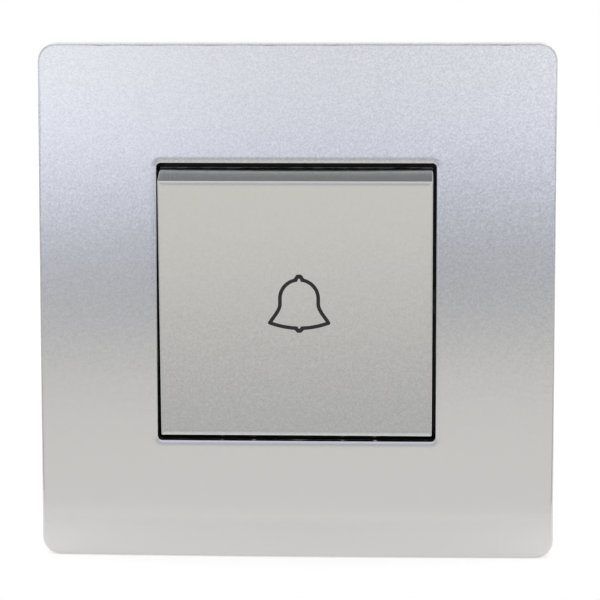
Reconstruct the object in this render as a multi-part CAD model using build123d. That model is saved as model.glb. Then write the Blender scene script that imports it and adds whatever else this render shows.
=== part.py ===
from build123d import *
import os
from math import cos, radians, sin, sqrt, tan

# Every piece is drawn lying face up: X right, Y up the wall, Z out of the wall, wall plane at Z = 0.
# The pieces are stood up against the wall when they are written out. Sizes are in mm and degrees.

# Cover frame
frame_size = 84.0
frame_corner_radius = 3.0
frame_edge_radius = 0.5
frame_wall = 1.8
frame_rim_height = 8.0
frame_draft = 1.0
crown_radius = 1200.0
window_size = 45.2
window_corner_radius = 0.7
window_edge_radius = 0.12
collar_gap = 0.9
collar_wall = 1.2
collar_depth = 1.2
rib_wall = 1.2
rib_depth = 1.4
rib_spread = 32.0

# Snap legs of the cover frame
leg_spread = 20.0
leg_offset = 0.3
leg_width = 5.0
leg_thickness = 1.6
barb_reach = 0.7
barb_length = 1.8
barb_clearance = 0.1
leg_clearance = 0.3

# Rocker
rocker_gap = 0.58
rocker_face_inset = 1.7
rocker_proud = 2.3
rocker_depth = 4.9
rocker_flare = 17.6
rocker_wall = 1.6
rocker_edge_radius = 0.2
rocker_rib_height = 1.0
rocker_rib_inset = 3.0
rest_tilt = 5.7
press_tilt = 5.3

# Rocker lever
pivot_height = 2.0
lever_margin = 0.5
lever_thickness = 1.6
lever_end_play = 0.3
hub_radius = 2.6
web_wall = 3.0
trunnion_radius = 1.5
trunnion_clearance = 0.06
trunnion_play = 0.1
nose_inset = 4.5
nose_width = 5.0
nose_radius = 1.5
nose_drop = 0.4
clip_spread = 18.0
clip_pitch = 14.0
clip_width = 4.0
clip_thickness = 1.2
clip_barb = 0.5
clip_clearance = 0.2

# Mounting plate
plate_edge = 2.0
plate_thickness = 1.2
plate_corner_radius = 6.0
box_screw_spacing = 60.0
slot_width = 4.2
slot_length = 7.0
hole_clearance = 0.2
bead_radius = 1.5
bead_height = 0.7
bead_length = 44.0
bead_inset = 3.6

# Spreader claws and their screws
claw_gap = 2.3
claw_pivot_depth = 3.0
claw_arm = 3.4
claw_heel = 5.2
claw_heel_width = 7.0
claw_face_offset = 0.28
claw_thickness = 1.5
claw_width = 10.0
claw_length = 12.0
claw_knuckle_radius = 1.5
claw_pin_radius = 1.2
claw_pin_clearance = 0.06
claw_side_play = 0.2
tooth_reach = 1.1
tooth_height = 2.2
tooth_count = 3
claw_swing = 30.0
ear_width = 4.4
ear_depth = 5.0
ear_window = 4.6
claw_screw_radius = 1.5
claw_screw_clearance = 0.1
claw_head_radius = 2.4
claw_head_height = 1.6
claw_head_rest_gap = 0.06

# Mechanism housing
housing_width = 37.0
housing_height = 41.0
housing_depth = 22.0
housing_wall = 1.8
housing_corner_radius = 3.0
housing_edge_radius = 0.8
post_radius = 2.5
post_margin = 1.2
barrier_wall = 1.6
barrier_height = 15.0
side_rib_wall = 1.6
side_rib_reach = 1.0
side_rib_spread = 22.0

# Housing cover, a tray with the two bearings, and its screws
flange_margin = 0.5
flange_thickness = 2.0
flange_corner_radius = 2.5
opening_ledge = 1.2
opening_margin = 2.7
opening_corner_radius = 2.0
tray_clearance = 0.2
tray_wall = 1.8
tray_depth = 3.4
tray_floor = 1.6
tower_height = 3.0
tower_width = 6.4
tower_wall = 3.0
stop_length = 1.6
stop_width = 3.0
stop_spread = 18.0
stop_clearance = 0.15
guide_wall = 1.6
guide_length = 1.6
cover_screw_side_inset = 6.5
cover_screw_end_inset = 3.8
cover_screw_radius = 1.1
cover_screw_length = 8.0
cover_head_radius = 1.9
cover_head_height = 1.4
screw_fit = 0.04
driver_slot_width = 0.8
driver_slot_depth = 0.7

# Plunger, contact bridge and return spring
plunger_radius = 2.5
plunger_clearance = 0.06
plunger_lift_gap = 0.1
shoulder_radius = 4.0
shoulder_thickness = 1.4
shoulder_clearance = 0.1
neck_radius = 1.4
neck_length = 3.2
neck_clearance = 0.05
bridge_end = 0.6
bridge_width = 5.0
bridge_thickness = 0.8
contact_radius = 1.9
moving_contact_height = 0.6
fixed_contact_height = 0.8
closed_contact_gap = 0.12
spring_radius = 2.5
spring_wire = 0.6
spring_half_turns = 9
spring_length = 7.7
spring_clearance = 0.4
seat_radius = 4.0
spigot_radius = 1.6
spigot_length = 1.8

# Terminals
strip_width = 5.6
strip_thickness = 1.2
strip_overhang = 3.0
terminal_width = 7.0
terminal_height = 8.0
terminal_side_gap = 2.7
terminal_end_gap = 2.1
wire_bore_radius = 1.6
wire_bore_length = 7.0
wire_hole_radius = 2.6
wire_funnel = 0.6
terminal_screw_radius = 1.5
terminal_head_radius = 2.6
terminal_head_height = 1.8
terminal_head_sink = 0.4
access_clearance = 0.4

# Places on the wall worked out from the sizes above, half sizes where a piece is centred
inside_width = housing_width - 2 * housing_wall
inside_height = housing_height - 2 * housing_wall
cover_screw_x = housing_width / 2 - cover_screw_side_inset
cover_screw_y = housing_height / 2 - cover_screw_end_inset
opening_width = inside_width - 2 * opening_ledge
opening_height = 2 * (cover_screw_y - opening_margin)
tray_half_width = opening_width / 2 - tray_clearance
tray_half_height = opening_height / 2 - tray_clearance
bearing_half = tray_half_width - tray_wall
lever_half = bearing_half - lever_end_play
lever_length = opening_height - 2 * lever_margin
nose_arm = lever_length / 2 - nose_inset
rocker_width = window_size - 2 * rocker_gap
collar_inside = window_size + 2 * collar_gap
collar_outside = collar_inside + 2 * collar_wall
leg_x = leg_spread / 2
leg_y = collar_outside / 2 + leg_offset
plate_size = box_screw_spacing + slot_length + 2 * plate_edge
contact_x = spring_radius + spring_wire / 2 + spring_clearance + strip_width / 2
terminal_x = inside_width / 2 - terminal_side_gap - terminal_width / 2
terminal_y = terminal_end_gap + terminal_height / 2 - inside_height / 2
claw_pivot_x = housing_width / 2 + side_rib_reach + claw_gap + claw_heel
claw_screw_x = claw_pivot_x - claw_arm

# Heights from the wall worked out from the sizes above
crown_apex = frame_rim_height + crown_radius - sqrt(crown_radius**2 - (frame_size / 2) ** 2)
window_height = crown_apex - crown_radius + sqrt(crown_radius**2 - (window_size / 2) ** 2)
flange_front = plate_thickness + flange_thickness
tray_back = -tray_depth
tray_top = tray_back + tray_floor
housing_floor = housing_wall - housing_depth
terminal_screw_z = housing_floor + wire_bore_length / 2

# Heights above the pivot
rocker_face = window_height + rocker_proud - pivot_height
rocker_inner = rocker_face - rocker_wall
rocker_back = rocker_face - rocker_depth
lever_front = rocker_inner - rocker_rib_height
lever_back = lever_front - lever_thickness

# Plunger stack, from the lever's nose at rest down to the fixed contacts
rest = radians(rest_tilt)
press = radians(press_tilt)
nose_y = nose_arm * cos(rest) + nose_drop * sin(rest)
nose_rest = pivot_height - nose_drop * cos(rest) + nose_arm * sin(rest)
plunger_travel = nose_arm * (sin(rest) + sin(press))
plunger_front = nose_rest - nose_radius - plunger_lift_gap
guide_back = tray_back - guide_length
shoulder_front = guide_back - shoulder_clearance
bridge_front = shoulder_front - shoulder_thickness
bridge_back = bridge_front - bridge_thickness
moving_face = bridge_back - moving_contact_height
fixed_face = moving_face - plunger_travel - closed_contact_gap
strip_front = fixed_face - fixed_contact_height
strip_back = strip_front - strip_thickness
spring_seat = bridge_back - spring_length

# Claw linkage
swing = radians(claw_swing)
claw_face = claw_face_offset - claw_pivot_depth
claw_screw_tip = claw_face + claw_screw_clearance
tip_lag = (claw_face_offset + claw_screw_radius) * (1 / cos(swing) - 1)
claw_screw_travel = claw_arm * tan(swing) - tip_lag
claw_head_back = plate_thickness + claw_screw_travel + claw_head_rest_gap


# Box from its centre on the wall, its size there and its back and front heights
def block(x, y, width, height, back, front):
    return Pos(x, y, (back + front) / 2) * Box(width, height, front - back)


# Rod standing out of the wall
def rod(x, y, radius, back, front):
    return Pos(x, y, (back + front) / 2) * Cylinder(radius, front - back)


# Rod lying across, along X
def cross_rod(y, z, radius, start, end):
    return Pos((start + end) / 2, y, z) * Rot(0, 90, 0) * Cylinder(radius, end - start)


# Rod lying up the wall, along Y
def upright_rod(x, z, radius, start, end):
    return Pos(x, (start + end) / 2, z) * Rot(90, 0, 0) * Cylinder(radius, end - start)


# Prism with rounded corners standing out of the wall
def prism(width, height, corner, back, front):
    return Pos(0, 0, back) * extrude(RectangleRounded(width, height, corner), front - back)


# Prism along X from a side outline of (y, z) points
def side_prism(points, width):
    return extrude(Plane.YZ * make_face(Polyline(points, close=True)), width / 2, both=True)


# Prism along Y from a plan outline of (x, z) points
def plan_prism(points, height):
    return extrude(Plane.XZ * make_face(Polyline(points, close=True)), height / 2, both=True)


# The same piece at the two sides, at the two ends, or at the four corners
def both_sides(piece):
    return piece + mirror(piece, Plane.YZ)


def both_ends(piece):
    return piece + mirror(piece, Plane.XZ)


def four_corners(piece):
    return both_ends(both_sides(piece))


# Sphere that carries the crown, turned so that its seam and poles lie away from the face
def crown(radius):
    return Pos(0, 0, crown_apex - crown_radius) * Rot(0, 90, 0) * Sphere(radius)


# Tapered block with rounded corners under a crown
def crowned_block(size, corner, radius):
    sketch = RectangleRounded(size, size, corner)
    return extrude(sketch, crown_apex + frame_wall, taper=frame_draft) & crown(radius)


# Collar round the window and the ribs from it to the side walls
def make_frame_stiffening(inside):
    collar_front = window_height - frame_wall
    collar_back = collar_front - collar_depth
    stiffening = block(0, 0, collar_outside, collar_outside, collar_back, crown_apex)
    stiffening -= block(0, 0, collar_inside, collar_inside, collar_back, collar_front)
    rib_start = collar_outside / 2 - collar_wall
    rib_length = inside / 2 - rib_start
    rib_place = rib_start + rib_length / 2
    rib_back = frame_rim_height - frame_wall - rib_depth
    rib = block(rib_place, rib_spread / 2, rib_length, rib_wall, rib_back, crown_apex)
    rib += block(rib_spread / 2, rib_place, rib_wall, rib_length, rib_back, crown_apex)
    return stiffening + four_corners(rib)


# Leg with a barb that hooks inwards behind the plate
def make_leg():
    inner = leg_y - leg_thickness / 2
    hook = -barb_clearance
    tip = hook - barb_length
    leg = block(leg_x, leg_y, leg_width, leg_thickness, tip, crown_apex - frame_wall)
    barb = [(inner, hook), (inner - barb_reach, hook), (inner, tip)]
    return leg + Pos(leg_x, 0, 0) * side_prism(barb, leg_width)


def make_cover_frame():
    body = crowned_block(frame_size, frame_corner_radius, crown_radius)
    front = body.faces().sort_by(Axis.Z)[-1]
    body = fillet(front.edges(), frame_edge_radius)
    inside = frame_size - 2 * frame_wall
    hollow = crowned_block(inside, frame_corner_radius - frame_wall / 2, crown_radius - frame_wall)
    body = body - hollow + (make_frame_stiffening(inside) & body)
    body += four_corners(make_leg())
    body -= prism(window_size, window_size, window_corner_radius, 0, crown_apex + frame_wall)
    rim = body.edges().filter_by_position(Axis.Z, window_height - frame_wall / 3, crown_apex)
    lip = rim.filter_by(lambda edge: edge.length < window_size + 1)
    return fillet(lip, window_edge_radius)


# Side outline of the rocker between two heights above the pivot, its ends flaring towards the back
def rocker_outline(back, front, inset):
    flare = tan(radians(rocker_flare))
    half = window_size / 2 - rocker_face_inset - inset
    low = half + (rocker_face - back) * flare
    high = half + (rocker_face - front) * flare
    return [(-low, back), (-high, front), (high, front), (low, back)]


# Stands a piece drawn about the pivot at its rest tilt
def at_rest(piece):
    return Pos(0, 0, pivot_height) * Rot(rest_tilt, 0, 0) * piece


# Clip with a hook that holds the lever
def make_clip():
    outer = clip_pitch / 2 + clip_thickness / 2
    hook = lever_back - barb_clearance
    tip = lever_back - clip_barb - clip_thickness
    clip = block(clip_spread / 2, clip_pitch / 2, clip_width, clip_thickness, tip, rocker_inner)
    barb = [(outer, hook), (outer + clip_barb, hook), (outer, tip)]
    return clip + Pos(clip_spread / 2, 0, 0) * side_prism(barb, clip_width)


def make_rocker():
    body = side_prism(rocker_outline(rocker_back, rocker_face, 0), rocker_width)
    back_edges = body.edges().group_by(Axis.Z)[0]
    body = fillet(body.edges() - back_edges, rocker_edge_radius)
    inset = rocker_wall / cos(radians(rocker_flare))
    hollow = rocker_outline(rocker_back - rocker_wall, rocker_inner, inset)
    body -= side_prism(hollow, rocker_width - 2 * rocker_wall)
    rib_y = lever_length / 2 - rocker_rib_inset
    rib = block(0, rib_y, 2 * lever_half, rib_wall, lever_front, rocker_inner)
    body += both_ends(rib)
    return at_rest(body + four_corners(make_clip()))


def make_rocker_lever():
    body = block(0, 0, 2 * lever_half, lever_length, lever_back, lever_front)
    body += block(0, 0, 2 * lever_half, web_wall, 0, lever_back)
    body += cross_rod(0, 0, hub_radius, -lever_half, lever_half)
    pin_end = tray_half_width - trunnion_play
    body += cross_rod(0, 0, trunnion_radius, -pin_end, pin_end)
    body += block(0, nose_arm, nose_width, 2 * nose_radius, -nose_drop, lever_back)
    body += cross_rod(nose_arm, -nose_drop, nose_radius, -nose_width / 2, nose_width / 2)
    inner = clip_pitch / 2 - clip_thickness / 2 - clip_barb - clip_clearance
    outer = clip_pitch / 2 + clip_thickness / 2 + clip_clearance / 2
    width = clip_width + 2 * clip_clearance
    slot = block(clip_spread / 2, (inner + outer) / 2, width, outer - inner, lever_back, lever_front)
    return at_rest(body - four_corners(slot))


# Ears for the claw pins, bent back out of the plate, and the windows that they leave
def add_ears(body):
    start = claw_width / 2 + claw_side_play
    end = start + plate_thickness
    ear = block(claw_pivot_x, (start + end) / 2, ear_width, plate_thickness, -ear_depth, plate_thickness)
    pin_hole = claw_pin_radius + claw_pin_clearance
    ear -= upright_rod(claw_pivot_x, -claw_pivot_depth, pin_hole, start, end)
    window = block(claw_pivot_x, end + ear_window / 2, ear_width, ear_window, 0, plate_thickness)
    return body - four_corners(window) + four_corners(ear)


# Stiffening bead pressed forward out of the sheet near a side edge
def add_beads(body):
    x = plate_size / 2 - bead_inset
    z = plate_thickness + bead_height - bead_radius
    ridge = upright_rod(x, z, bead_radius, -bead_length / 2, bead_length / 2)
    ridge &= block(x, 0, 2 * bead_radius, bead_length, 0, plate_thickness + bead_height)
    groove = upright_rod(x, z - plate_thickness, bead_radius, -bead_length / 2, bead_length / 2)
    return body + both_sides(ridge) - both_sides(groove)


def make_mounting_plate():
    body = prism(plate_size, plate_size, plate_corner_radius, 0, plate_thickness)
    body = add_ears(add_beads(body))
    body -= prism(opening_width, opening_height, opening_corner_radius, 0, plate_thickness)
    slot = extrude(SlotOverall(slot_length, slot_width, rotation=90), plate_thickness)
    body -= both_ends(Pos(0, box_screw_spacing / 2, 0) * slot)
    inner = leg_y - leg_thickness / 2 - leg_clearance / 3
    outer = leg_y + leg_thickness / 2 + barb_reach + leg_clearance
    width = leg_width + 2 * leg_clearance
    leg_hole = block(leg_x, (inner + outer) / 2, width, outer - inner, 0, plate_thickness)
    body -= four_corners(leg_hole)
    screw_hole = cover_screw_radius + hole_clearance
    body -= four_corners(rod(cover_screw_x, cover_screw_y, screw_hole, 0, plate_thickness))
    claw_hole = claw_screw_radius + claw_screw_clearance
    return body - both_sides(rod(claw_screw_x, 0, claw_hole, 0, plate_thickness))


# Claw on the right side: heel under the screw, tail along the housing, teeth at its end
def make_claw():
    heel_x = claw_pivot_x - claw_heel / 2
    body = block(heel_x, 0, claw_heel, claw_heel_width, claw_face - claw_thickness, claw_face)
    tail_outer = claw_pivot_x + claw_knuckle_radius
    tail_x = tail_outer - claw_thickness / 2
    tail_end = -claw_pivot_depth - claw_length
    body += block(tail_x, 0, claw_thickness, claw_width, tail_end, -claw_pivot_depth)
    half = claw_width / 2
    body += upright_rod(claw_pivot_x, -claw_pivot_depth, claw_knuckle_radius, -half, half)
    pin_end = half + claw_side_play + plate_thickness
    body += upright_rod(claw_pivot_x, -claw_pivot_depth, claw_pin_radius, -pin_end, pin_end)
    tooth_width = claw_width / (2 * tooth_count - 1)
    tooth_tip = tail_outer + tooth_reach
    tooth = [(tail_outer, tail_end), (tooth_tip, tail_end), (tail_outer, tail_end + tooth_height)]
    for number in range(tooth_count):
        y = (2 * number + 0.5) * tooth_width - half
        body += Pos(0, y, 0) * plan_prism(tooth, tooth_width)
    return body


# Slotted screw standing out of the wall, head at the front
def make_screw(x, y, radius, tip, head_radius, head_back, head_height):
    front = head_back + head_height
    body = rod(x, y, radius, tip, head_back)
    body += rod(x, y, head_radius, head_back, front)
    return body - block(x, y, 2 * head_radius, driver_slot_width, front - driver_slot_depth, front)


# Claw screw on the right side, with a round tip that bears on the heel
def make_claw_screw():
    centre = claw_screw_tip + claw_screw_radius
    sizes = claw_head_radius, claw_head_back, claw_head_height
    body = make_screw(claw_screw_x, 0, claw_screw_radius, centre, *sizes)
    return body + Pos(claw_screw_x, 0, centre) * Sphere(claw_screw_radius)


# Stop pad under the lever, as high as the lever's lower side comes there
def make_stop_pad():
    y = tray_half_height - tray_wall + stop_length / 2
    tilt = max(rest, press)
    front = pivot_height + lever_back / cos(tilt) - (y + stop_length / 2) * tan(tilt) - stop_clearance
    return block(stop_spread / 2, y, stop_width, stop_length, flange_front, front)


def make_housing_cover():
    width = housing_width - 2 * flange_margin
    height = housing_height - 2 * flange_margin
    body = prism(width, height, flange_corner_radius, plate_thickness, flange_front)
    tray_width = 2 * tray_half_width
    body += prism(tray_width, 2 * tray_half_height, opening_corner_radius, tray_back, plate_thickness)
    tower_x = bearing_half + tower_wall / 2
    tower_top = flange_front + tower_height
    body += both_sides(block(tower_x, 0, tower_wall, tower_width, plate_thickness, tower_top))
    body -= block(0, 0, 2 * bearing_half, 2 * (tray_half_height - tray_wall), tray_top, tower_top)
    body += four_corners(make_stop_pad())
    bearing = trunnion_radius + trunnion_clearance
    body -= cross_rod(0, pivot_height, bearing, -tray_half_width, tray_half_width)
    guide_bore = plunger_radius + plunger_clearance
    body += rod(0, nose_y, guide_bore + guide_wall, guide_back, tray_back)
    body -= rod(0, nose_y, guide_bore, guide_back, tray_top)
    screw_hole = cover_screw_radius + hole_clearance
    return body - four_corners(rod(cover_screw_x, cover_screw_y, screw_hole, plate_thickness, flange_front))


# Post in a corner of the housing for a cover screw, joined to the end wall
def make_post():
    back = flange_front - cover_screw_length - post_margin
    reach = inside_height / 2 - cover_screw_y
    post = rod(cover_screw_x, cover_screw_y, post_radius, back, 0)
    post += block(cover_screw_x, cover_screw_y + reach / 2, 2 * post_radius, reach, back, 0)
    return post - rod(cover_screw_x, cover_screw_y, cover_screw_radius + screw_fit, back + post_margin / 2, 0)


# Way in for a wire, with a funnel mouth, on the right side
def make_inlet():
    inlet = rod(terminal_x, terminal_y, wire_hole_radius, -housing_depth, housing_floor)
    mouth = Cone(wire_hole_radius + wire_funnel, wire_hole_radius, wire_funnel)
    return inlet + Pos(terminal_x, terminal_y, wire_funnel / 2 - housing_depth) * mouth


def make_housing():
    body = prism(housing_width, housing_height, housing_corner_radius, -housing_depth, 0)
    body = fillet(body.edges().group_by(Axis.Z)[0], housing_edge_radius)
    inner_corner = housing_corner_radius - housing_wall
    body -= prism(inside_width, inside_height, inner_corner, housing_floor, 0)
    body += four_corners(make_post())
    barrier_y = barrier_height / 2 - inside_height / 2
    body += block(0, barrier_y, barrier_wall, barrier_height, housing_floor, guide_back)
    body += both_sides(block(contact_x, nose_y, strip_width, bridge_width, housing_floor, strip_back))
    body += rod(0, nose_y, seat_radius, housing_floor, spring_seat)
    body += rod(0, nose_y, spigot_radius, spring_seat, spring_seat + spigot_length)
    rib_x = housing_width / 2 + side_rib_reach / 2
    rib_back = 2 * housing_edge_radius - housing_depth
    body += four_corners(block(rib_x, side_rib_spread / 2, side_rib_reach, side_rib_wall, rib_back, 0))
    body -= both_sides(make_inlet())
    access = terminal_head_radius + access_clearance
    hole = upright_rod(terminal_x, terminal_screw_z, access, -housing_height / 2, -inside_height / 2)
    return body - both_sides(hole)


def make_plunger():
    body = rod(0, nose_y, plunger_radius, shoulder_front, plunger_front)
    body += rod(0, nose_y, shoulder_radius, bridge_front, shoulder_front)
    return body + rod(0, nose_y, neck_radius, bridge_front - neck_length, bridge_front)


def make_contact_bridge():
    length = 2 * (contact_x + contact_radius + bridge_end)
    body = block(0, nose_y, length, bridge_width, bridge_back, bridge_front)
    return body - rod(0, nose_y, neck_radius + neck_clearance, bridge_back, bridge_front)


# Coil of half turns, each a leaning half circle that climbs to the start of the next
def make_return_spring():
    rise = (spring_length - spring_wire) / spring_half_turns
    bulge = sqrt(spring_radius**2 + (rise / 2) ** 2)
    arcs = []
    for number in range(spring_half_turns):
        side = (-1) ** number
        start = (side * spring_radius, 0, number * rise)
        middle = (0, side * bulge, (number + 0.5) * rise)
        end = (-side * spring_radius, 0, (number + 1) * rise)
        arcs.append(ThreePointArc(start, middle, end))
    path = Wire(arcs)
    section = Plane(origin=path @ 0, z_dir=path % 0) * Circle(spring_wire / 2)
    return Pos(0, nose_y, spring_seat + spring_wire / 2) * sweep(section, path)


# Strip on the right side, from the fixed contact down to the terminal block
def make_terminal_strip():
    half = strip_width / 2
    foot_top = terminal_y + terminal_height / 2
    body = block(contact_x, nose_y, strip_width, 2 * strip_overhang, strip_back, strip_front)
    slant = [
        (contact_x - half, nose_y),
        (contact_x + half, nose_y),
        (terminal_x + half, foot_top),
        (terminal_x - half, foot_top),
    ]
    body += Pos(0, 0, strip_back) * extrude(make_face(Polyline(slant, close=True)), strip_thickness)
    return body + block(terminal_x, terminal_y, strip_width, terminal_height, strip_back, strip_front)


# Pillar terminal on the right side, wire bore from the back, screw from below
def make_terminal_block():
    body = block(terminal_x, terminal_y, terminal_width, terminal_height, housing_floor, strip_back)
    body -= rod(terminal_x, terminal_y, wire_bore_radius, housing_floor, housing_floor + wire_bore_length)
    low = terminal_y - terminal_height / 2
    tapped = terminal_screw_radius + screw_fit
    return body - upright_rod(terminal_x, terminal_screw_z, tapped, low, terminal_y)


# Terminal screw on the right side, head down in the access hole
def make_terminal_screw():
    head_low = terminal_head_sink - housing_height / 2
    head_high = head_low + terminal_head_height
    tip = terminal_y - wire_bore_radius
    body = upright_rod(terminal_x, terminal_screw_z, terminal_head_radius, head_low, head_high)
    body += upright_rod(terminal_x, terminal_screw_z, terminal_screw_radius, head_high, tip)
    slot = Pos(terminal_x, head_low + driver_slot_depth / 2, terminal_screw_z)
    return body - slot * Box(2 * terminal_head_radius, driver_slot_depth, driver_slot_width)


# Contact tip on the right side of the plunger's axis
def make_contact(back, front):
    return rod(contact_x, nose_y, contact_radius, back, front)


def make_cover_screw():
    tip = flange_front - cover_screw_length
    sizes = cover_head_radius, flange_front, cover_head_height
    return make_screw(cover_screw_x, cover_screw_y, cover_screw_radius, tip, *sizes)


# Stands a piece up against the wall and writes it
def write(name, piece):
    export_step(Rot(90, 0, 0) * piece, "parts/" + name + ".step")


# Writes a piece and its mirror image on the left
def write_pair(name, piece):
    write(name + "_right", piece)
    write(name + "_left", mirror(piece, Plane.YZ))


os.makedirs("parts", exist_ok=True)
write("cover_frame", make_cover_frame())
write("rocker", make_rocker())
write("rocker_lever", make_rocker_lever())
write("mounting_plate", make_mounting_plate())
write("housing_cover", make_housing_cover())
write("mechanism_housing", make_housing())
write("plunger", make_plunger())
write("contact_bridge", make_contact_bridge())
write("return_spring", make_return_spring())
write("cover_screws", four_corners(make_cover_screw()))
write_pair("claw", make_claw())
write_pair("claw_screw", make_claw_screw())
write_pair("terminal_strip", make_terminal_strip())
write_pair("terminal_block", make_terminal_block())
write_pair("terminal_screw", make_terminal_screw())
write_pair("fixed_contact", make_contact(strip_front, fixed_face))
write_pair("moving_contact", make_contact(moving_face, bridge_back))
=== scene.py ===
import bmesh
import bpy
import numpy as np
from mathutils import Matrix, Vector


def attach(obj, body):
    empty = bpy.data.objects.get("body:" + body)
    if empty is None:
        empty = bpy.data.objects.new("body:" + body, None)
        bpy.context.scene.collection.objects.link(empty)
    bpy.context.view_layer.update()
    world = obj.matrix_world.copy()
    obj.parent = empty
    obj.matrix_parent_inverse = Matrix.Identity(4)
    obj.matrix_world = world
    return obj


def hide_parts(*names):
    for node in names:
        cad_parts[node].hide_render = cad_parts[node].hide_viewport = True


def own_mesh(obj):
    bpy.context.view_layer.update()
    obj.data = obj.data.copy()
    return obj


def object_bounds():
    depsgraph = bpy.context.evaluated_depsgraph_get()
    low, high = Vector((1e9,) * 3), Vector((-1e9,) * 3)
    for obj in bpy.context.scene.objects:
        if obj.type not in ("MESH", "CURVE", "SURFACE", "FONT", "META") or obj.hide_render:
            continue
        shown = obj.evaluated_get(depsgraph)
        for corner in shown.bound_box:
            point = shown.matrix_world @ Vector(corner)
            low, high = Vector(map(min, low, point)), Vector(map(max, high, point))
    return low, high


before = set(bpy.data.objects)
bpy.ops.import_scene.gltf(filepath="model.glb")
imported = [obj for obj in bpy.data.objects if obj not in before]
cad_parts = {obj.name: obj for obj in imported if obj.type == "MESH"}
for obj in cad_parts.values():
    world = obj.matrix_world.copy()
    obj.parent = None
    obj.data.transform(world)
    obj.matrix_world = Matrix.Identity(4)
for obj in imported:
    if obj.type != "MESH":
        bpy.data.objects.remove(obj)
cadBox = [list(corner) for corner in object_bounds()]
sceneNow = bpy.context.scene
sceneNow.view_settings.view_transform = "Standard"
mm = 0.001
samePoint = 1e-7  # metres; points closer than this become one
mixA, mixB, mixOut = 6, 7, 2  # colour sockets of the Mix node, whose names repeat
pureWhite = (1, 1, 1, 1)
print("frame loaded:", len(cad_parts), "nodes")


def hexLinear(code):
    # sRGB hex to linear colour by the sRGB curve, with full alpha
    channel = np.array([int(code[i:i + 2], 16) for i in (1, 3, 5)]) / 255
    low = channel / 12.92
    high = ((channel + 0.055) / 1.055) ** 2.4
    return (*np.where(channel <= 0.04045, low, high).tolist(), 1.0)


def addNode(tree, kind, links=None, **settings):
    # adds a node, sets its properties, then fills its inputs with values or sockets
    node = tree.nodes.new("ShaderNode" + kind)
    for name, value in settings.items():
        setattr(node, name, value)
    for name, value in (links or {}).items():
        if isinstance(value, bpy.types.NodeSocket):
            tree.links.new(value, node.inputs[name])
        else:
            node.inputs[name].default_value = value
    return node


def newMaterial(name):
    material = bpy.data.materials.new(name)
    material.use_nodes = True
    tree = material.node_tree
    tree.nodes.clear()
    return material, tree


def finishMaterial(tree, shader):
    addNode(tree, "OutputMaterial", {"Surface": shader})


def gridPiece(name, points, closedU, closedV, material):
    # mesh over a grid of points (rows u, columns v), faces joined round where a side is closed
    rows, columns = points.shape[:2]
    u = np.arange(rows if closedU else rows - 1)
    v = np.arange(columns if closedV else columns - 1)
    uu, vv = np.meshgrid(u, v, indexing="ij")
    row, nextRow = uu * columns, (uu + 1) % rows * columns
    nextV = (vv + 1) % columns
    corners = np.stack([row + vv, nextRow + vv, nextRow + nextV, row + nextV], -1)
    mesh = bpy.data.meshes.new(name)
    mesh.from_pydata(points.reshape(-1, 3).tolist(), [], corners.reshape(-1, 4).tolist())
    mesh.polygons.foreach_set("use_smooth", np.ones(len(mesh.polygons), bool))
    # points that fall together, at poles and tips, become one
    shell = bmesh.new()
    shell.from_mesh(mesh)
    bmesh.ops.remove_doubles(shell, verts=shell.verts, dist=samePoint)
    shell.to_mesh(mesh)
    shell.free()
    mesh.update()
    piece = bpy.data.objects.new(name, mesh)
    sceneNow.collection.objects.link(piece)
    mesh.materials.append(material)
    return piece


# metallic silver lacquer sprayed on dark ABS: satin metal whose flakes show as a fine grain of lighter and
# darker specks; the flakes are far finer than a pixel, so they are drawn about a pixel wide; ragged is how
# far the edge of the paint wanders (mm), and a face that looks to the wall by more than backward stays bare;
# the dark bare ABS where the paint thins out deep in the window is painted shade in the gap
lacquerLook = {"roughness": 0.17, "flakeMm": 0.22, "peelMm": 2.4, "peelDepth": 0.004, "ragged": 0.3,
               "backward": (0.3, 0.6), "bare": "#1B1C1E", "bareRoughness": 0.55}
# the frame, in mm: apex and radius of its crowned face, where its outer walls begin, the depths between which
# paint thins out to dark bare plastic, painted shade on the window's walls deep in the gap, the window's
# corners (centre, radius) and the soft edge round the window (width, radius); flakes gives how far they lean,
# how much they differ in tone, and how much of that shows at two heights
frameLook = {"colour": "#DADBDD", "apex": 8.735, "crownRadius": 1200.0, "outside": (40.6, 41.2),
             "oversprayAndShade": (1.2, 2.4), "window": (21.9, 0.7), "roll": (1.15, 9.5),
             # the flakes' tone shows strongest high on the frame: painted sparkle where the light catches
             # them
             "flakes": {"tilt": 0.016, "tone": 0.08, "low": (-20, 0.15), "high": (15, 1.0)}}
# the rocker, in mm and degrees: its face lies faceHeight from the pivot, and the pivot lies pivotDepth in
# front of the wall
rockerLook = {"colour": "#D9D9D6", "faceHeight": 8.822, "pivotDepth": 2.0, "tilt": 5.7,
              # the rocker's flanks thin to dark bare plastic only at their back edge, deep in the gap, as
              # painted shade
              "halfFace": (22.02, 20.9), "oversprayAndShade": (4.6, 5.6), "roll": (0.95, 7.0),
              # the flakes' tone shows strongest low on the rocker: painted sparkle where the light catches
              # them
              "flakes": {"tilt": 0.016, "tone": 0.04, "low": (-15, 1.0), "high": (20, 0.2)}}


def frameDepth(tree, place):
    # depth below the crowned face: apex height + y - (x x + z z) / twice the crown's radius, in metres
    flat = addNode(tree, "VectorMath", {0: place, 1: (1, 0, 1)}, operation="MULTIPLY")
    square = addNode(tree, "VectorMath", {0: flat.outputs[0], 1: flat.outputs[0]}, operation="DOT_PRODUCT")
    bend = 0.5 / (frameLook["crownRadius"] * mm)
    drop = addNode(tree, "Math", {0: square.outputs["Value"], 1: bend}, operation="MULTIPLY")
    height = addNode(tree, "SeparateXYZ", {0: place}).outputs["Y"]
    below = addNode(tree, "Math", {0: height, 1: drop.outputs[0]}, operation="SUBTRACT")
    return addNode(tree, "Math", {0: below.outputs[0], 1: frameLook["apex"] * mm}, operation="ADD").outputs[0]


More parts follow.
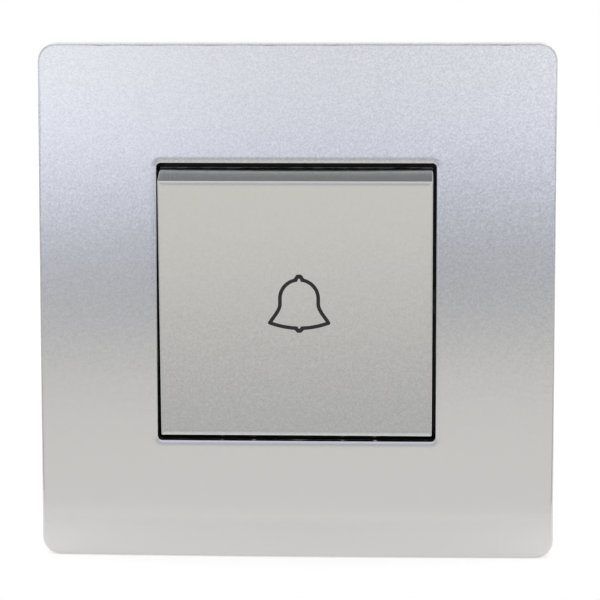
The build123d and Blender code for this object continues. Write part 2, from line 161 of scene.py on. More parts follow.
def frameOutside(tree, place):
    # 1 on the outer side walls, where the larger of |x| and |z| is near the half size
    size = addNode(tree, "VectorMath", {0: place}, operation="ABSOLUTE")
    part = addNode(tree, "SeparateXYZ", {0: size.outputs[0]})
    reach = addNode(tree, "Math", {0: part.outputs["X"], 1: part.outputs["Z"]}, operation="MAXIMUM")
    first, last = (limit * mm for limit in frameLook["outside"])
    wall = addNode(tree, "MapRange", {"Value": reach.outputs[0], "From Min": first, "From Max": last})
    return wall.outputs[0]


def frameEdge(tree, place):
    # way out from the window's rounded outline: length of what (|x|, |z|) has over the corner's centre, less
    # the corner's radius; a whole metre is taken off y, so it never counts
    centre, corner = frameLook["window"]
    middle = (centre * mm, 1.0, centre * mm)
    size = addNode(tree, "VectorMath", {0: place}, operation="ABSOLUTE")
    over = addNode(tree, "VectorMath", {0: size.outputs[0], 1: middle}, operation="SUBTRACT")
    over = addNode(tree, "VectorMath", {0: over.outputs[0], 1: (0, 0, 0)}, operation="MAXIMUM")
    far = addNode(tree, "VectorMath", {0: over.outputs[0]}, operation="LENGTH")
    return addNode(tree, "Math", {0: far.outputs["Value"], 1: corner * mm}, operation="SUBTRACT").outputs[0]


def rockerEdge(tree, place):
    # way in from the nearest side of the tilted face: half size - |place|, the smaller of across and up
    tilt = np.radians(rockerLook["tilt"])
    halfU, halfV = rockerLook["halfFace"]
    upward = (0, -np.sin(tilt), np.cos(tilt))
    pivotUp = rockerLook["pivotDepth"] * np.sin(tilt) * mm
    up = addNode(tree, "VectorMath", {0: place, 1: upward}, operation="DOT_PRODUCT")
    fromPivot = addNode(tree, "Math", {0: up.outputs["Value"], 1: pivotUp}, operation="SUBTRACT")
    tall = addNode(tree, "Math", {0: fromPivot.outputs[0]}, operation="ABSOLUTE")
    across = addNode(tree, "SeparateXYZ", {0: place}).outputs["X"]
    wide = addNode(tree, "Math", {0: across}, operation="ABSOLUTE")
    fromEnd = addNode(tree, "Math", {0: halfV * mm, 1: tall.outputs[0]}, operation="SUBTRACT")
    fromSide = addNode(tree, "Math", {0: halfU * mm, 1: wide.outputs[0]}, operation="SUBTRACT")
    nearest = addNode(tree, "Math", {0: fromEnd.outputs[0], 1: fromSide.outputs[0]}, operation="MINIMUM")
    return nearest.outputs[0]


def rockerDepth(tree, place):
    # depth below the tilted face: face height - (distance from the pivot along the face's normal)
    tilt = np.radians(rockerLook["tilt"])
    outward = (0, -np.cos(tilt), -np.sin(tilt))
    top = rockerLook["faceHeight"] + rockerLook["pivotDepth"] * np.cos(tilt)
    along = addNode(tree, "VectorMath", {0: place, 1: outward}, operation="DOT_PRODUCT")
    return addNode(tree, "Math", {0: top * mm, 1: along.outputs["Value"]}, operation="SUBTRACT").outputs[0]


def silverLacquer(name, own, depth, edge, outside):
    look, flakes = lacquerLook, own["flakes"]
    material, tree = newMaterial(name)
    spot = addNode(tree, "TexCoord")
    place = spot.outputs["Object"]
    # flakes: each cell leans its own way and has its own tone, by a share that changes with height; the
    # tone's share is painted sparkle, strongest at the height where the light catches the flakes
    flake = addNode(tree, "TexVoronoi", {"Vector": place, "Scale": 1 / (look["flakeMm"] * mm)})
    centred = addNode(tree, "VectorMath", {0: flake.outputs["Color"], 1: (0.5, 0.5, 0.5)},
                      operation="SUBTRACT")
    (lowZ, lowShare), (highZ, highShare) = flakes["low"], flakes["high"]
    height = addNode(tree, "SeparateXYZ", {0: place}).outputs["Z"]
    share = addNode(tree, "MapRange", {"Value": height, "From Min": lowZ * mm, "From Max": highZ * mm,
                                       "To Min": lowShare, "To Max": highShare}).outputs[0]
    lean = addNode(tree, "Math", {0: share, 1: flakes["tilt"]}, operation="MULTIPLY")
    tilt = addNode(tree, "VectorMath", {0: centred.outputs[0], "Scale": lean.outputs[0]}, operation="SCALE")
    # relief: orange peel, and the face rolls off round the edge by the square of what is left of the roll's
    # width, over twice its radius
    peel = addNode(tree, "TexNoise", {"Vector": place, "Scale": 1 / (look["peelMm"] * mm), "Detail": 1.0})
    width, radius = (size * mm for size in own["roll"])
    left = addNode(tree, "Math", {0: width, 1: edge(tree, place)}, operation="SUBTRACT")
    left = addNode(tree, "Clamp", {"Value": left.outputs[0], "Min": 0.0, "Max": width})
    square = addNode(tree, "Math", {0: left.outputs[0], 1: left.outputs[0]}, operation="MULTIPLY")
    rolled = addNode(tree, "Math", {0: square.outputs[0], 1: -0.5 / radius}, operation="MULTIPLY")
    relief = addNode(tree, "Math", {0: peel.outputs[0], 1: look["peelDepth"] * mm, 2: rolled.outputs[0]},
                     operation="MULTIPLY_ADD")
    bump = addNode(tree, "Bump", {"Height": relief.outputs[0], "Distance": 1.0, "Strength": 1.0})
    leaning = addNode(tree, "VectorMath", {0: bump.outputs["Normal"], 1: tilt.outputs[0]}, operation="ADD")
    normal = addNode(tree, "VectorMath", {0: leaning.outputs[0]}, operation="NORMALIZE")
    # overspray and painted shade: paint thins out with depth, in a ragged line, to dark bare plastic that
    # deep in the window's gap stands in for its shade, and the side towards the wall stays bare
    wander = look["ragged"] * mm
    ragged = addNode(tree, "MapRange", {"Value": peel.outputs[0], "To Min": -wander, "To Max": wander})
    reach = addNode(tree, "Math", {0: depth(tree, place), 1: ragged.outputs[0]}, operation="ADD")
    thinFrom, thinTo = (size * mm for size in own["oversprayAndShade"])
    paint = addNode(tree, "MapRange", {"Value": reach.outputs[0], "From Min": thinFrom, "From Max": thinTo,
                                       "To Min": 1.0, "To Max": 0.0})
    if outside:
        paint = addNode(tree, "Math", {0: paint.outputs[0], 1: outside(tree, place)}, operation="MAXIMUM")
    facing = addNode(tree, "SeparateXYZ", {0: spot.outputs["Normal"]})
    backFrom, backTo = look["backward"]
    front = addNode(tree, "MapRange", {"Value": facing.outputs["Y"], "From Min": backFrom, "From Max": backTo,
                                       "To Min": 1.0, "To Max": 0.0})
    paint = addNode(tree, "Math", {0: paint.outputs[0], 1: front.outputs[0]}, operation="MULTIPLY").outputs[0]
    # specks of tone, scaled by the height share: painted sparkle
    grey = addNode(tree, "SeparateXYZ", {0: flake.outputs["Color"]})
    speck = addNode(tree, "MapRange", {"Value": grey.outputs["X"], "To Min": -flakes["tone"],
                                       "To Max": flakes["tone"]})
    speck = addNode(tree, "Math", {0: speck.outputs[0], 1: share, 2: 1.0}, operation="MULTIPLY_ADD")
    silver = addNode(tree, "VectorMath", {0: hexLinear(own["colour"])[:3], "Scale": speck.outputs[0]},
                     operation="SCALE")
    tone = addNode(tree, "Mix", {"Factor": paint, mixA: hexLinear(look["bare"]), mixB: silver.outputs[0]},
                   data_type="RGBA")
    rough = addNode(tree, "MapRange", {"Value": paint, "To Min": look["bareRoughness"],
                                       "To Max": look["roughness"]})
    shader = addNode(tree, "BsdfPrincipled", {
        "Base Color": tone.outputs[mixOut], "Metallic": paint, "Roughness": rough.outputs[0],
        "Normal": normal.outputs[0]})
    finishMaterial(tree, shader.outputs[0])
    return material


# moulded plastics and the black electro-coat on steel: a soft sheen, fine grain from the spark-eroded mould
# or the flow of the coat, and slow clouds of tone; a real mould's grain is a few hundredths of a millimetre,
# so it is drawn coarse enough to show
blackLook = {"colour": "#1C1D1F", "cloud": "#2A2B2D", "roughness": 0.42, "grainMm": 0.32, "grainDepth": 0.014,
             "cloudMm": 7.0}
greyLook = {"colour": "#C9CAC7", "cloud": "#B5B6B2", "roughness": 0.45, "grainMm": 0.40, "grainDepth": 0.018,
            "cloudMm": 9.0}
coatLook = {"colour": "#141517", "cloud": "#1F2022", "roughness": 0.36, "grainMm": 0.70, "grainDepth": 0.014,
            "cloudMm": 6.0}
acetalLook = {"colour": "#EDEBE4", "cloud": "#E2E0D8", "roughness": 0.30, "grainMm": 0.40,
              "grainDepth": 0.003, "cloudMm": 4.0}
skinSheen = 0.08  # the grain changes the roughness by this much either way


def satinSkin(name, look):
    material, tree = newMaterial(name)
    place = addNode(tree, "TexCoord").outputs["Object"]
    grain = addNode(tree, "TexNoise", {"Vector": place, "Scale": 1 / (look["grainMm"] * mm), "Detail": 2.0})
    cloud = addNode(tree, "TexNoise", {"Vector": place, "Scale": 1 / (look["cloudMm"] * mm), "Detail": 3.0})
    tone = addNode(tree, "Mix", {"Factor": cloud.outputs[0], mixA: hexLinear(look["colour"]),
                                 mixB: hexLinear(look["cloud"])}, data_type="RGBA")
    rough = addNode(tree, "MapRange", {"Value": grain.outputs[0], "To Min": look["roughness"] - skinSheen,
                                       "To Max": look["roughness"] + skinSheen})
    bump = addNode(tree, "Bump", {"Height": grain.outputs[0], "Distance": look["grainDepth"] * mm,
                                  "Strength": 1.0})
    shader = addNode(tree, "BsdfPrincipled", {
        "Base Color": tone.outputs[mixOut], "Roughness": rough.outputs[0], "Normal": bump.outputs["Normal"],
        "IOR": 1.5})
    finishMaterial(tree, shader.outputs[0])
    return material


# bare metals: rolled or drawn lines along one way, patches of plating or tarnish, and a sheen that wanders
# with them; the lines of real stock are finer and are drawn wide enough to show
zincLook = {"colour": "#B9BDC2", "patch": "#A8A89F", "roughness": 0.30, "lineMm": (6.0, 0.25, 0.25),
            "lineDepth": 0.003, "patchMm": 5.0}
brassLook = {"colour": "#D2AC5E", "patch": "#A98444", "roughness": 0.28, "lineMm": (0.25, 0.25, 5.0),
             "lineDepth": 0.003, "patchMm": 3.0}
silverLook = {"colour": "#E4E2DC", "patch": "#B7B2A6", "roughness": 0.24, "lineMm": (0.5, 0.5, 0.5),
              "lineDepth": 0.002, "patchMm": 1.2}
wireLook = {"colour": "#8A8D92", "patch": "#6A6C70", "roughness": 0.26, "lineMm": (0.4, 0.12, 0.4),
            "lineDepth": 0.002, "patchMm": 2.0}
# a patch shows between these levels of its noise; wear, the sum of line and patch, takes the sheen from
# smoother to rougher by the time it reaches most
metalWear = {"patch": (0.42, 0.72), "most": 1.6, "smoother": 0.06, "rougher": 0.16}


def bareMetal(name, look):
    material, tree = newMaterial(name)
    place = addNode(tree, "TexCoord").outputs["Object"]
    lineScale = tuple(1 / (size * mm) for size in look["lineMm"])
    stretch = addNode(tree, "Mapping", {"Vector": place, "Scale": lineScale})
    line = addNode(tree, "TexNoise", {"Vector": stretch.outputs[0], "Scale": 1.0, "Detail": 2.0})
    patch = addNode(tree, "TexNoise", {"Vector": place, "Scale": 1 / (look["patchMm"] * mm), "Detail": 4.0})
    patchFrom, patchTo = metalWear["patch"]
    share = addNode(tree, "MapRange", {"Value": patch.outputs[0], "From Min": patchFrom, "From Max": patchTo})
    tone = addNode(tree, "Mix", {"Factor": share.outputs[0], mixA: hexLinear(look["colour"]),
                                 mixB: hexLinear(look["patch"])}, data_type="RGBA")
    worn = addNode(tree, "Math", {0: line.outputs[0], 1: share.outputs[0]}, operation="ADD")
    rough = addNode(tree, "MapRange", {"Value": worn.outputs[0], "From Max": metalWear["most"],
                                       "To Min": look["roughness"] - metalWear["smoother"],
                                       "To Max": look["roughness"] + metalWear["rougher"]})
    bump = addNode(tree, "Bump", {"Height": line.outputs[0], "Distance": look["lineDepth"] * mm,
                                  "Strength": 1.0})
    shader = addNode(tree, "BsdfPrincipled", {
        "Base Color": tone.outputs[mixOut], "Metallic": 1.0, "Roughness": rough.outputs[0],
        "Normal": bump.outputs["Normal"]})
    finishMaterial(tree, shader.outputs[0])
    return material


# screen-printed ink: a thin satin black film, a little uneven where the mesh of the screen let it through,
# with the mesh drawn about twice as coarse as a real one
inkLook = {"colour": "#0A0B0E", "thin": "#121317", "roughness": 0.40, "sheen": 0.06, "meshMm": 0.16}


def screenInk():
    material, tree = newMaterial("black_screen_ink")
    place = addNode(tree, "TexCoord").outputs["Object"]
    weave = addNode(tree, "TexNoise", {"Vector": place, "Scale": 1 / (inkLook["meshMm"] * mm), "Detail": 1.0})
    tone = addNode(tree, "Mix", {"Factor": weave.outputs[0], mixA: hexLinear(inkLook["colour"]),
                                 mixB: hexLinear(inkLook["thin"])}, data_type="RGBA")
    rough = addNode(tree, "MapRange", {"Value": weave.outputs[0],
                                       "To Min": inkLook["roughness"] - inkLook["sheen"],
                                       "To Max": inkLook["roughness"] + inkLook["sheen"]})
    shader = addNode(tree, "BsdfPrincipled", {
        "Base Color": tone.outputs[mixOut], "Roughness": rough.outputs[0], "IOR": 1.5})
    finishMaterial(tree, shader.outputs[0])
    return material


frameLacquer = silverLacquer("silver_lacquer_frame", frameLook, frameDepth, frameEdge, frameOutside)
rockerLacquer = silverLacquer("silver_lacquer_rocker", rockerLook, rockerDepth, rockerEdge, None)
blackPlastic = satinSkin("black_moulded_abs", blackLook)
greyPlastic = satinSkin("grey_moulded_polyamide", greyLook)
whitePlastic = satinSkin("white_acetal", acetalLook)
coatedSteel = satinSkin("black_electrocoat_on_steel", coatLook)
zincSteel = bareMetal("zinc_plated_steel", zincLook)
brass = bareMetal("rolled_brass", brassLook)
contactSilver = bareMetal("silver_contact_alloy", silverLook)
springWire = bareMetal("drawn_spring_wire", wireLook)
ink = screenInk()

finishes = {"cover_frame": frameLacquer, "rocker": rockerLacquer, "rocker_lever": blackPlastic,
            "housing_cover": blackPlastic, "mechanism_housing": greyPlastic, "plunger": whitePlastic,
            "mounting_plate": coatedSteel, "cover_screws": zincSteel, "contact_bridge": brass,
            "return_spring": springWire}
for side in ("left", "right"):
    finishes.update({"claw_" + side: zincSteel, "claw_screw_" + side: coatedSteel,
                     "terminal_screw_" + side: zincSteel, "terminal_strip_" + side: brass,
                     "terminal_block_" + side: brass, "fixed_contact_" + side: contactSilver,
                     "moving_contact_" + side: contactSilver})
for name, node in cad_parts.items():
    node.data.materials.clear()
    node.data.materials.append(finishes[name])
print("materials on", len(finishes), "nodes")

# bell sign, sizes in mm on the rocker's face (across, up): halfStroke is half the width of the line, knob and
# clapper are bumps (height, width) on its outer and inner edge, and within tipClear half strokes of a tip the
# round tip takes over
bellSign = {"centre": (0.58, 1.85), "radius": 3.085, "halfStroke": 0.30, "side": 0.87,
            "tip": (4.743, 3.99), "flare": (3.05, -1.39), "sag": 0.875, "tipClear": 1.45,
            "knobOut": (0.58, 0.187), "knobIn": (0.47, 0.075),
            "clapperOut": (0.47, 0.58), "clapperIn": (0.36, 0.22),
            "film": 0.03, "shoulder": 6, "sunk": 0.02,
            "steps": {"dome": 121, "side": 60, "rim": 161, "tip": 9, "film": 9}}


def lump(place, size):
    # bump with a flat top: height times e to minus the fourth power of place over width
    height, width = size
    return height * np.exp(-(place / width) ** 4)


def rightHand(line):
    # unit normal on the right hand of the way a line runs
    step = np.gradient(line, axis=0)
    return np.stack([step[:, 1], -step[:, 0]], -1) / np.linalg.norm(step, axis=1)[:, None]


def signEdges():
    # outer and inner edge of one closed line: a dome in polar form with a knob, straight sides, flares that
    # widen with the square and cube of the way down, round tips and a sagging rim with a clapper
    sign, steps = bellSign, bellSign["steps"]
    half = sign["halfStroke"]
    turn = np.linspace(0, np.pi, steps["dome"])
    ray = np.stack([np.cos(turn), np.sin(turn)], -1)
    domeOut = ray * (sign["radius"] + half + lump(turn - np.pi / 2, sign["knobOut"]))[:, None]
    domeIn = ray * (sign["radius"] - half + lump(turn - np.pi / 2, sign["knobIn"]))[:, None]
    tipX, tipY = sign["tip"]
    square, cube = sign["flare"]
    way = np.linspace(0, 1, steps["side"])
    widen = (square * way ** 2 + cube * way ** 3) * (tipX - sign["radius"]) / (square + cube)
    side = np.stack([-sign["radius"] - widen, -sign["side"] - (tipY - sign["side"]) * way], -1)
    rimX = np.linspace(-tipX, tipX, steps["rim"])
    rim = np.stack([rimX, -tipY - sign["sag"] * (1 - (rimX / tipX) ** 2)], -1)
    sideNormal, rimNormal = rightHand(side), rightHand(rim)
    sideOut, sideIn = side + half * sideNormal, side - half * sideNormal
    rimOut, rimIn = rim + half * rimNormal, rim - half * rimNormal
    rimOut[:, 1] -= lump(rimX, sign["clapperOut"])
    rimIn[:, 1] -= lump(rimX, sign["clapperIn"])
    # tip: an arc from the side's last normal to the rim's first, and inside it the corner of the two edges
    sideEnd, rimStart = sideNormal[-1], rimNormal[0]
    first = np.arctan2(sideEnd[1], sideEnd[0]) % (2 * np.pi)
    last = np.arctan2(rimStart[1], rimStart[0]) % (2 * np.pi)
    sweep = np.linspace(first, last, steps["tip"])
    tipOut = side[-1] + half * np.stack([np.cos(sweep), np.sin(sweep)], -1)
    inward = -(sideEnd + rimStart)
    tipIn = np.repeat([side[-1] + inward * half / (1 + sideEnd @ rimStart)], steps["tip"], axis=0)
    clear = sign["tipClear"] * half
    keepSide = np.linalg.norm(side - side[-1], axis=1) > clear
    keepRim = (np.linalg.norm(rim - rim[0], axis=1) > clear) & (np.linalg.norm(rim - rim[-1], axis=1) > clear)
    mirror = np.array([-1.0, 1.0])
    outer = [domeOut, sideOut[keepSide], tipOut, rimOut[keepRim],
             tipOut[::-1] * mirror, sideOut[keepSide][::-1] * mirror]
    inner = [domeIn, sideIn[keepSide], tipIn, rimIn[keepRim],
             tipIn[::-1] * mirror, sideIn[keepSide][::-1] * mirror]
    return np.concatenate(outer), np.concatenate(inner)


def makeBellSign():
    # film of ink: flat across the line, with rounded shoulders, and its underside lies just inside the face
    outer, inner = signEdges()
    filmSteps = bellSign["steps"]["film"]
    film = bellSign["film"] * (1 - np.linspace(-1, 1, filmSteps) ** bellSign["shoulder"])
    share = np.concatenate([np.linspace(0, 1, filmSteps), [1.0, 0.0]])
    height = np.concatenate([film, [-bellSign["sunk"]] * 2])
    flat = outer[:, None] * (1 - share)[None, :, None] + inner[:, None] * share[None, :, None]
    tilt = np.radians(rockerLook["tilt"])
    u = flat[..., 0] + bellSign["centre"][0]
    v = flat[..., 1] + bellSign["centre"][1]
    h = np.broadcast_to(rockerLook["faceHeight"] + height, u.shape)
    depth = rockerLook["pivotDepth"] + v * np.sin(tilt) + h * np.cos(tilt)
    points = np.stack([u, -depth, v * np.cos(tilt) - h * np.sin(tilt)], -1) * mm
    sign = gridPiece("bell_sign", points, True, True, ink)
    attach(sign, "rocker")


makeBellSign()
print("bell sign made")

# return spring, sizes in mm: between the contact bridge and its seat, with closed turns at both ends; ease is
# the part of a turn in which the pitch opens, and keep is the share of the length that is left when the
# plunger is pressed
springSet = {"radius": 2.5, "wireRadius": 0.3, "start": 7.3, "end": 15.0, "height": 8.995, "turns": 6.0,
             "closed": 0.9, "ease": 0.35, "keep": 0.776, "steps": {"coil": 433, "cap": 5, "ring": 16}}


def makeReturnSpring():
    # a circle carried along a coil: pitch grows from one wire at the closed ends to the open pitch in between
    coil, steps = springSet, springSet["steps"]
    turn = np.linspace(0, coil["turns"], steps["coil"])
    fromEnd = np.minimum(turn, coil["turns"] - turn)
    rate = np.clip((fromEnd - coil["closed"]) / coil["ease"], 0, 1)
    rate = rate * rate * (3 - 2 * rate)  # smooth step
    room = coil["end"] - coil["start"] - 2 * coil["wireRadius"]
    tight = 2 * coil["wireRadius"]
    step = turn[1] - turn[0]
    spread = np.sum((rate[1:] + rate[:-1]) / 2) * step
    rise = (room - tight * coil["turns"]) / spread * rate + tight
    climb = np.concatenate([[0], np.cumsum((rise[1:] + rise[:-1]) / 2) * step])
    angle = 2 * np.pi * turn
    line = np.stack([coil["radius"] * np.cos(angle), coil["start"] + coil["wireRadius"] + climb,
                     coil["height"] + coil["radius"] * np.sin(angle)], -1)
    along = np.gradient(line, axis=0)
    along /= np.linalg.norm(along, axis=1)[:, None]
    out = np.stack([np.cos(angle), 0 * angle, np.sin(angle)], -1)
    out -= np.sum(out * along, axis=1)[:, None] * along
    out /= np.linalg.norm(out, axis=1)[:, None]
    # round caps: a quarter turn at each end, size by its sine and shift by its cosine
    cap = np.linspace(0, np.pi / 2, steps["cap"], endpoint=False)
    size = np.concatenate([np.sin(cap), np.ones(len(turn)), np.sin(cap)[::-1]]) * coil["wireRadius"]
    shift = np.concatenate([-np.cos(cap), np.zeros(len(turn)), np.cos(cap)[::-1]]) * coil["wireRadius"]
    pick = np.concatenate([np.zeros(len(cap), int), np.arange(len(turn)), np.full(len(cap), len(turn) - 1)])
    line, along, out = line[pick] + shift[:, None] * along[pick], along[pick], out[pick]
    side = np.cross(along, out)
    ring = np.linspace(2 * np.pi, 0, steps["ring"], endpoint=False)  # this way the faces point outwards
    circle = out[:, None] * np.cos(ring)[None, :, None] + side[:, None] * np.sin(ring)[None, :, None]
    points = line[:, None] + size[:, None, None] * circle
    spring = gridPiece("coil_spring", points * mm, False, True, springWire)
    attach(spring, "base")
    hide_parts("return_spring")
    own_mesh(spring)


makeReturnSpring()
print("return spring made")

# threads of the claw screws, sizes in mm: crest stays inside the plate's tapped hole; ridge gives the
# steepness of its flanks and how far the groove cuts into it, and fade is the length in which it runs out
threadSet = {"place": 23.6, "root": 1.49, "crest": 1.575, "pitch": 0.5, "start": -2.9, "end": 1.05,
             "ridge": (1.7, 0.25), "fade": 0.3, "steps": {"along": 159, "around": 48}}


def makeThread(side, sign):
    # sleeve round the shank: radius = root + a ridge that climbs one pitch each turn, fading at both ends
    thread, steps = threadSet, threadSet["steps"]
    y = np.linspace(thread["start"], thread["end"], steps["along"])
    around = np.linspace(2 * np.pi, 0, steps["around"], endpoint=False)  # this way the faces point outwards
    yy, aa = np.meshgrid(y, around, indexing="ij")
    phase = (yy / thread["pitch"] - aa / (2 * np.pi)) % 1
    flank, groove = thread["ridge"]
    ridge = np.clip(flank * (1 - np.abs(2 * phase - 1)) - groove, 0, 1)
    fade = np.clip(np.minimum(yy - thread["start"], thread["end"] - yy) / thread["fade"], 0, 1)
    radius = thread["root"] + (thread["crest"] - thread["root"]) * ridge * fade
    radius[[0, -1]] = 0  # closes both ends
    x = sign * thread["place"] + radius * np.sin(aa)
    points = np.stack([x, yy, radius * np.cos(aa)], -1) * mm
    sleeve = gridPiece("claw_screw_thread_" + side, points, False, True, coatedSteel)
    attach(sleeve, "claw_screw_" + side)


makeThread("left", -1)
makeThread("right", 1)
print("threads made")

# studio floor, in metres: pale paper that the object stands on and that runs a little way out in front of it;
# lift makes it white to the camera, with the shadow left on it; a glow that only metal and glass see is a
# painted reflection, its level given at the floor's front and at the object's foot, and mirrored is its tint
floorSet = {"front": -0.032, "foot": -0.008, "back": 1.6, "half": 1.4, "steps": 9, "colour": "#E6E5E2",
            "grainMm": 2.5, "grainTone": 0.985, "lift": 0.46, "paintedReflection": (0.24, 0.36), "mirrored": "#FFF8EC"}


def makeFloor():
    # flat sheet on a coarse grid
    x = np.linspace(-floorSet["half"], floorSet["half"], floorSet["steps"])
    y = np.linspace(floorSet["front"], floorSet["back"], floorSet["steps"])
    xx, yy = np.meshgrid(x, y, indexing="ij")
    points = np.stack([xx, yy, np.full_like(xx, cadBox[0][2])], -1)
    material, tree = newMaterial("studio_floor_paper")
    place = addNode(tree, "TexCoord").outputs["Object"]
    grain = addNode(tree, "TexNoise", {"Vector": place, "Scale": 1 / (floorSet["grainMm"] * mm)})
    ramp = addNode(tree, "MapRange", {"Value": grain.outputs[0], "To Min": floorSet["grainTone"],
                                      "To Max": 1.0})
    tone = addNode(tree, "VectorMath", {0: hexLinear(floorSet["colour"])[:3], "Scale": ramp.outputs[0]},
                   operation="SCALE")
    paper = addNode(tree, "BsdfDiffuse", {"Color": tone.outputs[0]})
    path = addNode(tree, "LightPath")
    toCamera = path.outputs["Is Camera Ray"]
    toMetal, toGlass = path.outputs["Is Glossy Ray"], path.outputs["Is Transmission Ray"]
    # painted reflection: the floor glows for metal and glass, brighter towards the object's foot, in a warm
    # tint
    mirrored = addNode(tree, "Math", {0: toMetal, 1: toGlass}, operation="MAXIMUM")
    paintedReflectionFront, paintedReflectionFoot = floorSet["paintedReflection"]
    depth = addNode(tree, "SeparateXYZ", {0: place}).outputs["Y"]
    near = addNode(tree, "MapRange", {"Value": depth, "From Min": floorSet["front"],
                                      "From Max": floorSet["foot"],
                                      "To Min": paintedReflectionFront, "To Max": paintedReflectionFoot})
    paintedReflection = addNode(tree, "Math", {0: mirrored.outputs[0], 1: near.outputs[0]}, operation="MULTIPLY")
    lift = addNode(tree, "Math", {0: toCamera, 1: floorSet["lift"], 2: paintedReflection.outputs[0]},
                   operation="MULTIPLY_ADD")
    tint = addNode(tree, "Mix", {"Factor": toCamera, mixA: hexLinear(floorSet["mirrored"]), mixB: pureWhite},
                   data_type="RGBA")
    glow = addNode(tree, "Emission", {"Color": tint.outputs[mixOut], "Strength": lift.outputs[0]})
    both = addNode(tree, "AddShader", {0: paper.outputs[0], 1: glow.outputs[0]})
    finishMaterial(tree, both.outputs[0])
    gridPiece("studio_floor", points, False, False, material)


# vault of lit cloth, in metres and degrees: light holds stops from below the camera up over the top, each an
# angle with the level and tint of the light there, as of a warm table top, a dark gap, a cool panel at eye
# level and a ceiling with one dim strip; lean turns these bands at leanAt to the left and right of the
# middle, sides makes the panel brighter away from the middle, per square metre, ends are where the vault
# turns dim, and closed is the share of its radius where it ends
vault = {"radius": 2.5, "half": 8.0, "first": -75.0, "last": 150.0, "steps": 91, "closed": 0.01,
         "lean": (-0.4, 1.0), "leanAt": 1.0,
         "sides": {"gain": 0.8, "from": -7.5, "to": -3.5, "most": 1.25},
         "ends": {"from": 1.3, "to": 2.2, "level": 0.8},
         "rampTop": 2.0,  # level that a full colour ramp stands for
         "tints": {"plain": "#FCFCFF", "warm": "#FFFCF5", "cool": "#EEF1FF"},
         "light": ((-75, 0.80, "plain"), (-40, 0.90, "plain"), (-32, 0.90, "plain"), (-27, 0.50, "plain"),
                   (-20, 0.54, "plain"), (-18, 0.71, "plain"), (-16, 0.94, "warm"), (-13, 0.83, "warm"),
                   (-10, 0.82, "warm"), (-8, 0.66, "warm"), (-6, 0.33, "plain"), (-4, 0.44, "cool"),
                   (-2, 0.87, "cool"), (0, 1.10, "cool"), (4, 1.00, "plain"), (20, 0.82, "plain"),
                   (40, 0.80, "plain"), (47, 0.25, "plain"), (58, 0.25, "plain"), (64, 1.15, "plain"),
                   (76, 1.00, "plain"), (150, 0.95, "plain"))}


def makeVault():
    # part of a cylinder that runs along x, angle by length, whose ends close in to the axis
    angle = np.radians(np.linspace(vault["first"], vault["last"], vault["steps"]))
    x = np.array([-1, -1, -0.5, 0, 0.5, 1, 1]) * vault["half"]
    radius = np.array([vault["closed"], 1, 1, 1, 1, 1, vault["closed"]]) * vault["radius"]
    aa, xx = np.meshgrid(angle, x, indexing="ij")
    points = np.stack([xx, -radius * np.cos(aa), radius * np.sin(aa)], -1)
    material, tree = newMaterial("studio_light_cloth")
    place = addNode(tree, "SeparateXYZ", {0: addNode(tree, "TexCoord").outputs["Object"]})
    toward = addNode(tree, "Math", {0: place.outputs["Y"], 1: -1.0}, operation="MULTIPLY")
    turn = addNode(tree, "Math", {0: place.outputs["Z"], 1: toward.outputs[0]}, operation="ARCTAN2")
    # bands of light by the angle, which leans a little from side to side
    leanLeft, leanRight = np.radians(vault["lean"])
    lean = addNode(tree, "MapRange", {"Value": place.outputs["X"], "From Min": -vault["leanAt"],
                                      "From Max": vault["leanAt"], "To Min": leanLeft, "To Max": leanRight})
    leaned = addNode(tree, "Math", {0: turn.outputs[0], 1: lean.outputs[0]}, operation="SUBTRACT")
    share = addNode(tree, "MapRange", {"Value": leaned.outputs[0], "From Min": np.radians(vault["first"]),
                                       "From Max": np.radians(vault["last"])})
    ramp = addNode(tree, "ValToRGB", {0: share.outputs[0]})
    marks = ramp.color_ramp.elements
    for _ in range(len(vault["light"]) - len(marks)):
        marks.new(0.5)
    for mark, (degrees, level, tint) in zip(marks, vault["light"]):
        mark.position = (degrees - vault["first"]) / (vault["last"] - vault["first"])
        mark.color = (*(part * level / vault["rampTop"] for part in hexLinear(vault["tints"][tint])[:3]), 1)
    # brighter away from the middle: 1 + gain x x, no more than most, then dim at the ends
    sides, ends = vault["sides"], vault["ends"]
    gain = addNode(tree, "MapRange", {"Value": turn.outputs[0], "From Min": np.radians(sides["from"]),
                                      "From Max": np.radians(sides["to"]), "To Max": sides["gain"]})
    square = addNode(tree, "Math", {0: place.outputs["X"], 1: place.outputs["X"]}, operation="MULTIPLY")
    rise = addNode(tree, "Math", {0: square.outputs[0], 1: gain.outputs[0], 2: 1.0}, operation="MULTIPLY_ADD")
    capped = addNode(tree, "Math", {0: rise.outputs[0], 1: sides["most"]}, operation="MINIMUM")
    far = addNode(tree, "Math", {0: place.outputs["X"]}, operation="ABSOLUTE")
    full = vault["rampTop"]
    fall = addNode(tree, "MapRange", {"Value": far.outputs[0], "From Min": ends["from"],
                                      "From Max": ends["to"], "To Min": full, "To Max": full * ends["level"]})
    strength = addNode(tree, "Math", {0: capped.outputs[0], 1: fall.outputs[0]}, operation="MULTIPLY")
    light = addNode(tree, "Emission", {"Color": ramp.outputs[0], "Strength": strength.outputs[0]})
    finishMaterial(tree, light.outputs[0])
    cloth = gridPiece("studio_vault", points, False, False, material)
    cloth.visible_camera = False


# surroundings: white where the camera or metal sees them, and a plain level of light on everything
roomSet = {"colour": "#F4F5F7", "level": 0.7}


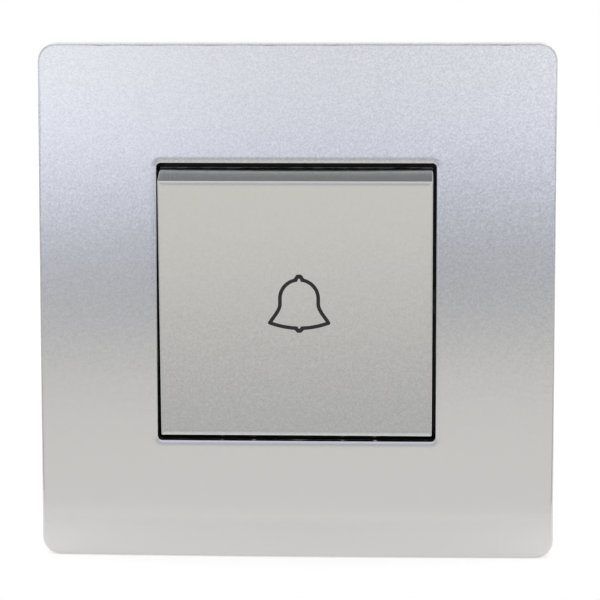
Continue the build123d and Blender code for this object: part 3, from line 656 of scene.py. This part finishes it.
def makeWorld():
    world = bpy.data.worlds.new("studio_surroundings")
    sceneNow.world = world
    world.use_nodes = True
    tree = world.node_tree
    tree.nodes.clear()
    path = addNode(tree, "LightPath")
    toCamera, toMetal = path.outputs["Is Camera Ray"], path.outputs["Is Glossy Ray"]
    toGlass = path.outputs["Is Transmission Ray"]
    seen = addNode(tree, "Math", {0: toCamera, 1: toMetal}, operation="MAXIMUM")
    seen = addNode(tree, "Math", {0: seen.outputs[0], 1: toGlass}, operation="MAXIMUM")
    plain = addNode(tree, "Background", {"Color": hexLinear(roomSet["colour"]), "Strength": roomSet["level"]})
    bright = addNode(tree, "Background", {"Color": pureWhite, "Strength": 1.0})
    mix = addNode(tree, "MixShader", {0: seen.outputs[0], 1: plain.outputs[0], 2: bright.outputs[0]})
    addNode(tree, "OutputWorld", {"Surface": mix.outputs[0]})


makeFloor()
makeVault()
makeWorld()
print("studio made")

# camera at the photograph's angle (degrees, mm), in a square picture whose pixels give the focal length and
# the shift
cameraSet = {"azimuth": 2.682, "elevation": 6.173, "distance": 429.06, "roll": -0.036, "focalPx": 2598.9,
             "imagePx": 600, "moveX": -1.363, "moveY": -2.683, "sensorMm": 36.0, "nearest": 10.0}


def makeCamera():
    data = bpy.data.cameras.new("photo_camera")
    camera = bpy.data.objects.new("photo_camera", data)
    sceneNow.collection.objects.link(camera)
    azimuth, elevation = np.radians(cameraSet["azimuth"]), np.radians(cameraSet["elevation"])
    level = np.cos(elevation)
    away = Vector((np.sin(azimuth) * level, -np.cos(azimuth) * level, np.sin(elevation)))
    aim = (-away).to_track_quat("-Z", "Y").to_matrix().to_4x4()
    roll = Matrix.Rotation(np.radians(cameraSet["roll"]), 4, "Z")
    camera.matrix_world = Matrix.Translation(away * cameraSet["distance"] * mm) @ aim @ roll
    data.sensor_width = cameraSet["sensorMm"]
    data.lens = cameraSet["focalPx"] / cameraSet["imagePx"] * data.sensor_width
    data.shift_x = -cameraSet["moveX"] / cameraSet["imagePx"]
    data.shift_y = cameraSet["moveY"] / cameraSet["imagePx"]
    data.clip_start = cameraSet["nearest"] * mm
    sceneNow.camera = camera


makeCamera()
print("camera set")
